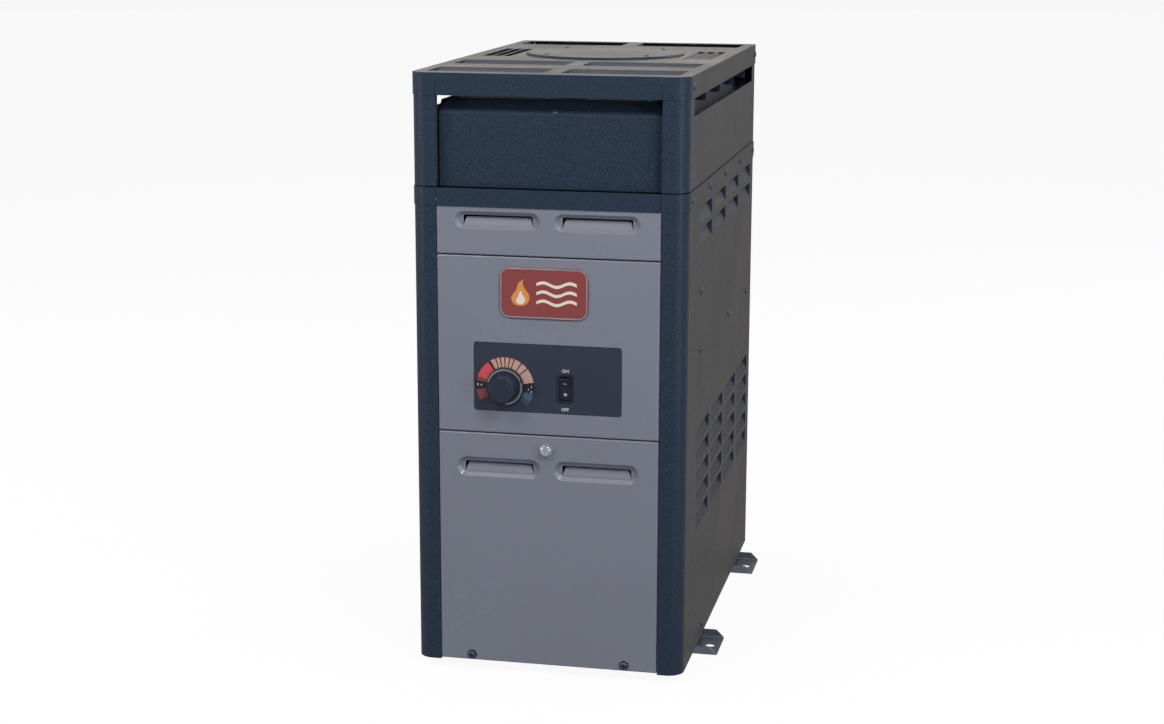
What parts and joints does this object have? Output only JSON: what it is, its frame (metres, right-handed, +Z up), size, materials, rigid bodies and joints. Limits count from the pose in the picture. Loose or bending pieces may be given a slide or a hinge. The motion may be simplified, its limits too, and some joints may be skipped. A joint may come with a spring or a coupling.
{
  "type": "gas pool heater",
  "caption": "Free-standing sheet-metal gas water heater for a pool, with louvered sides, a vented hood, a dial, a power switch and a lift-off burner door.",
  "frame": {"origin": "centre of the four anchor holes, on the plane that the rails stand on", "axes": "+Z up, -Y out of the front, +X to the right when facing the front"},
  "size_m": [0.441, 0.7304, 0.8463],
  "materials": {
    "dark_paint": "fine textured",
    "screw_paint": "satin",
    "panel_paint": "satin",
    "galvanised_steel": "dull",
    "zinc": "bright",
    "emblem_paint": "satin",
    "control_paint": "matte",
    "black_plastic": "satin",
    "knob_plastic": "satin",
    "grey_plastic": "matte",
    "lead_insulation": "matte",
    "dark_screw": "satin",
    "burner_steel": "dull",
    "black_iron": "matte",
    "cast_aluminium": "cast",
    "cast_iron": "cast",
    "refractory": "matte",
    "copper": "satin",
    "brass": "satin",
    "stainless": "satin"
  },
  "bodies": {
    "cabinet": {"base_rail_front": "galvanised_steel", "base_rail_rear": "galvanised_steel", "base_pan": "galvanised_steel", "side_panel_right": "dark_paint", "side_panel_left": "dark_paint", "rear_panel": "dark_paint", "upper_front_panel": "panel_paint", "control_front_panel": "panel_paint", "collar_right": "dark_paint", "collar_left": "dark_paint", "mid_deck": "dark_paint", "hood_side_right": "dark_paint", "hood_side_left": "dark_paint", "hood_rear_panel": "dark_paint", "hood_front_deflector": "dark_paint", "draft_diverters": "dark_paint", "slot_guards": "dark_paint", "rain_baffle": "galvanised_steel", "top_panel": "dark_paint", "cap_side_right": "dark_paint", "cap_side_left": "dark_paint", "vent_cover_disc": "dark_paint", "cabinet_screws": "screw_paint", "badge_plate": "emblem_paint", "control_plate": "control_paint", "thermostat_body": "grey_plastic", "thermostat_capillary": "copper", "rocker_housing": "black_plastic", "ignition_module": "grey_plastic", "wiring_harness": "lead_insulation", "wiring_bushing": "black_plastic", "inner_front_wall": "galvanised_steel", "control_shelf": "galvanised_steel", "fastener_receptacle": "galvanised_steel", "burner_tray": "burner_steel", "burner_tubes": "burner_steel", "gas_manifold": "black_iron", "pilot_assembly": "stainless", "pilot_tube": "cast_aluminium", "gas_valve_body": "cast_aluminium", "gas_inlet_pipe": "black_iron", "chamber_side_walls": "refractory", "chamber_end_walls": "refractory", "exchanger_tubes": "copper", "exchanger_fins": "copper", "exchanger_baffles": "stainless", "return_header": "cast_iron", "water_header": "cast_iron", "bypass_spring": "stainless", "drain_plug": "brass", "pressure_switch": "brass", "flue_collector": "galvanised_steel"},
    "thermostat_knob": {"thermostat_knob": "knob_plastic"},
    "power_rocker": {"power_rocker": "black_plastic"},
    "lower_door": {"lower_door": "panel_paint", "door_screws": "dark_screw"},
    "door_fastener": {"door_fastener": "zinc"},
    "gas_valve_stem": {"gas_valve_stem": "brass"},
    "gas_valve_knob": {"gas_valve_knob": "black_plastic"},
    "bypass_poppet": {"bypass_poppet": "brass"}
  },
  "joints": [
    {"name": "thermostat_turn", "type": "hinge", "parent": "cabinet", "child": "thermostat_knob", "pos_m": [-0.06, -0.361, 0.4147], "axis": [0, 1, 0], "range_deg": [-75, 170]},
    {"name": "rocker_tilt", "type": "hinge", "parent": "cabinet", "child": "power_rocker", "pos_m": [0.0249, -0.357, 0.416], "axis": [1, 0, 0], "range_deg": [-22, 0]},
    {"name": "door_lift_off", "type": "slide", "parent": "cabinet", "child": "lower_door", "axis": [0, -1, 0], "range_m": [0, 0.2]},
    {"name": "fastener_turn", "type": "hinge", "parent": "lower_door", "child": "door_fastener", "pos_m": [-0.002, -0.361, 0.328], "axis": [0, 1, 0], "range_deg": [0, 90]},
    {"name": "gas_stem_push", "type": "slide", "parent": "cabinet", "child": "gas_valve_stem", "axis": [0, 1, 0], "range_m": [0, 0.004], "stiffness_N_per_m": 800},
    {"name": "gas_knob_turn", "type": "hinge", "parent": "gas_valve_stem", "child": "gas_valve_knob", "pos_m": [-0.035, -0.33, 0.113], "axis": [0, 1, 0], "range_deg": [0, 180]},
    {"name": "bypass_lift", "type": "slide", "parent": "cabinet", "child": "bypass_poppet", "axis": [-1, 0, 0], "range_m": [0, 0.008], "stiffness_N_per_m": 400, "deforming": ["bypass_spring"]}
  ]
}
